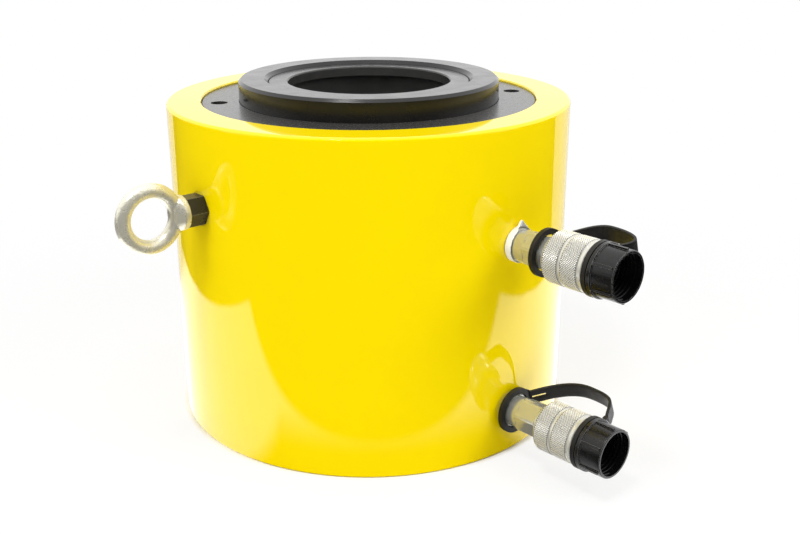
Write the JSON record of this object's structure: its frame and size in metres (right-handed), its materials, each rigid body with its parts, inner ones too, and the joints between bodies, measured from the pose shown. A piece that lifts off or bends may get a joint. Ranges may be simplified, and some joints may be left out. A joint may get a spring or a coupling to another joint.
{
  "type": "hollow plunger hydraulic cylinder",
  "caption": "Short, wide double-acting hydraulic cylinder with a centre hole through its plunger, capped screw couplers and a lifting eye.",
  "frame": {"origin": "centre of the base, on the axis of the centre hole", "axes": "+Z along the centre hole and out of the plunger; +X to the right and -Y to the front of the picture"},
  "size_m": [0.2891, 0.2909, 0.216],
  "materials": {
    "yellow_paint": "gloss",
    "black_steel": "satin black oxide",
    "bright_steel": "ground",
    "zinc_steel": "satin zinc plate",
    "bronze": "satin",
    "seal_plastic": "matte",
    "rubber": "matte",
    "cap_plastic": "satin",
    "tape": "matte"
  },
  "bodies": {
    "cylinder": {"cylinder_body": "yellow_paint", "center_tube": "bright_steel", "tube_seal": "rubber", "gland_nut": "black_steel", "guide_bush": "bronze", "rod_seal": "seal_plastic", "wiper_ring": "rubber", "gland_seal": "rubber", "eye_bolt": "zinc_steel", "eye_lock_nut": "black_steel", "retract_port_nipple": "zinc_steel", "retract_thread_tape": "tape", "retract_coupler_body": "zinc_steel", "retract_snap_ring": "bright_steel", "retract_nose_seal": "rubber", "retract_valve_spring": "bright_steel", "retract_strap_neck_ring": "rubber", "retract_strap_band": "rubber", "advance_port_nipple": "zinc_steel", "advance_thread_tape": "tape", "advance_coupler_body": "zinc_steel", "advance_snap_ring": "bright_steel", "advance_nose_seal": "rubber", "advance_valve_spring": "bright_steel", "advance_strap_neck_ring": "rubber", "advance_strap_band": "rubber"},
    "plunger": {"plunger": "black_steel", "piston_seal": "seal_plastic", "piston_wear_ring": "bronze", "inner_seal": "seal_plastic", "inner_wear_ring": "bronze", "saddle": "black_steel"},
    "retract_collar": {"retract_collar": "zinc_steel"},
    "retract_strap_end": {"retract_strap_cap_ring": "rubber"},
    "retract_cap": {"retract_dust_cap": "cap_plastic"},
    "retract_valve": {"retract_valve_poppet": "bright_steel"},
    "advance_collar": {"advance_collar": "zinc_steel"},
    "advance_strap_end": {"advance_strap_cap_ring": "rubber"},
    "advance_cap": {"advance_dust_cap": "cap_plastic"},
    "advance_valve": {"advance_valve_poppet": "bright_steel"}
  },
  "joints": [
    {"name": "plunger_slide", "type": "slide", "parent": "cylinder", "child": "plunger", "axis": [0, 0, 1], "range_m": [0, 0.05]},
    {"name": "retract_collar_spin", "type": "hinge", "parent": "cylinder", "child": "retract_collar", "pos_m": [0, 0, 0.1343], "axis": [0.66, -0.7513, 0], "continuous": true},
    {"name": "retract_cap_withdraw", "type": "slide", "parent": "cylinder", "child": "retract_strap_end", "axis": [0.66, -0.7513, 0], "range_m": [0, 0.01], "deforming": ["retract_strap_band"]},
    {"name": "retract_cap_unscrew", "type": "hinge", "parent": "retract_strap_end", "child": "retract_cap", "pos_m": [0, 0, 0.1343], "axis": [0.66, -0.7513, 0], "range_deg": [0, 1460]},
    {"name": "retract_valve_open", "type": "slide", "parent": "cylinder", "child": "retract_valve", "axis": [-0.66, 0.7513, 0], "range_m": [0, 0.0035], "stiffness_N_per_m": 1500, "springref_m": -0.003, "deforming": ["retract_valve_spring"]},
    {"name": "advance_collar_spin", "type": "hinge", "parent": "cylinder", "child": "advance_collar", "pos_m": [0, 0, 0.0282], "axis": [0.66, -0.7513, 0], "continuous": true},
    {"name": "advance_cap_withdraw", "type": "slide", "parent": "cylinder", "child": "advance_strap_end", "axis": [0.66, -0.7513, 0], "range_m": [0, 0.01], "deforming": ["advance_strap_band"]},
    {"name": "advance_cap_unscrew", "type": "hinge", "parent": "advance_strap_end", "child": "advance_cap", "pos_m": [0, 0, 0.0282], "axis": [0.66, -0.7513, 0], "range_deg": [0, 1460]},
    {"name": "advance_valve_open", "type": "slide", "parent": "cylinder", "child": "advance_valve", "axis": [-0.66, 0.7513, 0], "range_m": [0, 0.0035], "stiffness_N_per_m": 1500, "springref_m": -0.003, "deforming": ["advance_valve_spring"]}
  ],
  "couplings": [
    {"joint": "retract_cap_unscrew", "follows": "retract_cap_withdraw", "rad_per_m": 2513.3},
    {"joint": "advance_cap_unscrew", "follows": "advance_cap_withdraw", "rad_per_m": 2513.3}
  ]
}
